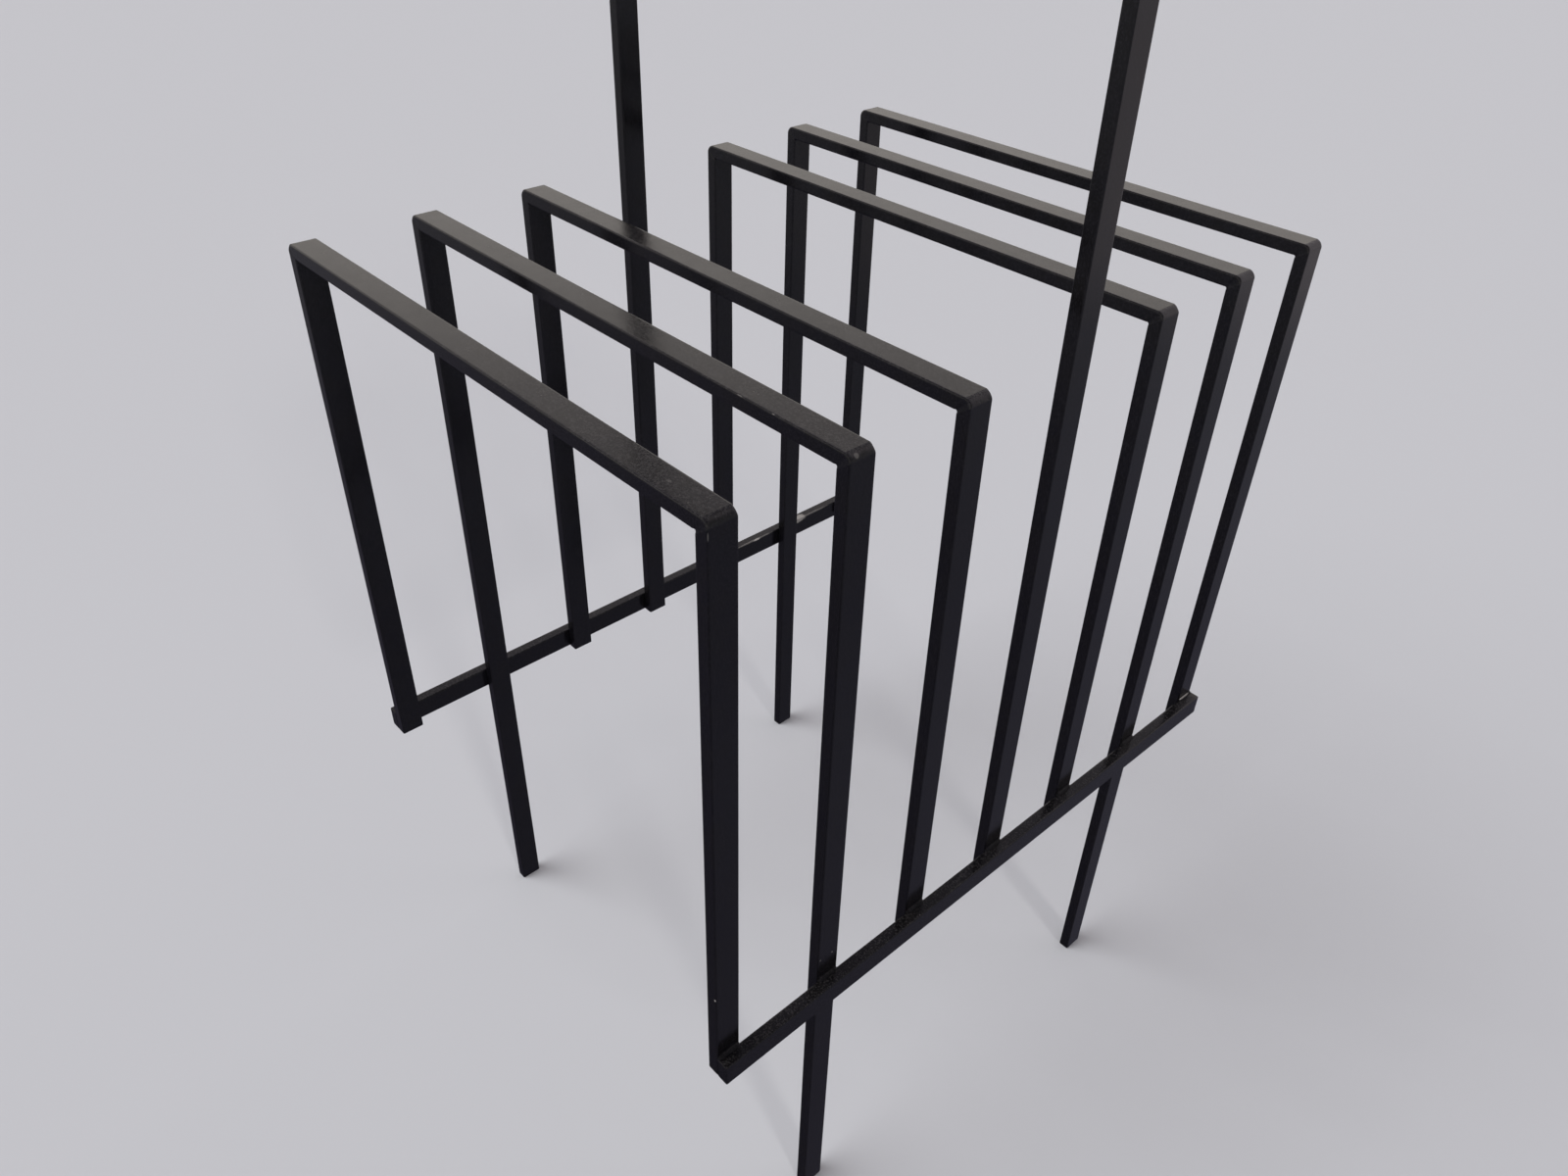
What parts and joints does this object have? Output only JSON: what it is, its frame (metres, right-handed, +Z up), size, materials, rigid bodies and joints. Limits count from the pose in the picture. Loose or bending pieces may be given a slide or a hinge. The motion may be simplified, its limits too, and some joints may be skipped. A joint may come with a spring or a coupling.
{
  "type": "newspaper rack",
  "caption": "Freestanding welded newspaper rack: open upright frames of flat bar in a row across side rails, with legs and a tall carrying handle in the middle.",
  "frame": {"origin": "on the floor, under the middle of the rack", "axes": "+Z up; +X to the right across the frames' span, seen from the front; +Y from front to back along the rails"},
  "size_m": [0.292, 0.354, 0.65],
  "materials": {
    "lacquer": "black satin lacquer on steel flat bar, slightly textured and dusty on top faces",
    "ground_weld": "corner weld ground flush and painted over with the same black satin lacquer",
    "rail_weld": "small rippled fillet weld painted over with the same black satin lacquer"
  },
  "bodies": {
    "root": {"left_rail": "lacquer", "right_rail": "lacquer", "hoop_1_top_bar": "lacquer", "hoop_1_left_upright": "lacquer", "hoop_1_left_corner_weld": "ground_weld", "hoop_1_left_rail_weld": "rail_weld", "hoop_1_right_upright": "lacquer", "hoop_1_right_corner_weld": "ground_weld", "hoop_1_right_rail_weld": "rail_weld", "leg_hoop_2_top_bar": "lacquer", "leg_hoop_2_left_leg": "lacquer", "leg_hoop_2_left_corner_weld": "ground_weld", "leg_hoop_2_left_rail_weld": "rail_weld", "leg_hoop_2_right_leg": "lacquer", "leg_hoop_2_right_corner_weld": "ground_weld", "leg_hoop_2_right_rail_weld": "rail_weld", "hoop_3_top_bar": "lacquer", "hoop_3_left_upright": "lacquer", "hoop_3_left_corner_weld": "ground_weld", "hoop_3_left_rail_weld": "rail_weld", "hoop_3_right_upright": "lacquer", "hoop_3_right_corner_weld": "ground_weld", "hoop_3_right_rail_weld": "rail_weld", "handle_4_top_bar": "lacquer", "handle_4_left_post": "lacquer", "handle_4_left_corner_weld": "ground_weld", "handle_4_left_rail_weld": "rail_weld", "handle_4_right_post": "lacquer", "handle_4_right_corner_weld": "ground_weld", "handle_4_right_rail_weld": "rail_weld", "hoop_5_top_bar": "lacquer", "hoop_5_left_upright": "lacquer", "hoop_5_left_corner_weld": "ground_weld", "hoop_5_left_rail_weld": "rail_weld", "hoop_5_right_upright": "lacquer", "hoop_5_right_corner_weld": "ground_weld", "hoop_5_right_rail_weld": "rail_weld", "leg_hoop_6_top_bar": "lacquer", "leg_hoop_6_left_leg": "lacquer", "leg_hoop_6_left_corner_weld": "ground_weld", "leg_hoop_6_left_rail_weld": "rail_weld", "leg_hoop_6_right_leg": "lacquer", "leg_hoop_6_right_corner_weld": "ground_weld", "leg_hoop_6_right_rail_weld": "rail_weld", "hoop_7_top_bar": "lacquer", "hoop_7_left_upright": "lacquer", "hoop_7_left_corner_weld": "ground_weld", "hoop_7_left_rail_weld": "rail_weld", "hoop_7_right_upright": "lacquer", "hoop_7_right_corner_weld": "ground_weld", "hoop_7_right_rail_weld": "rail_weld"}
  },
  "joints": []
}
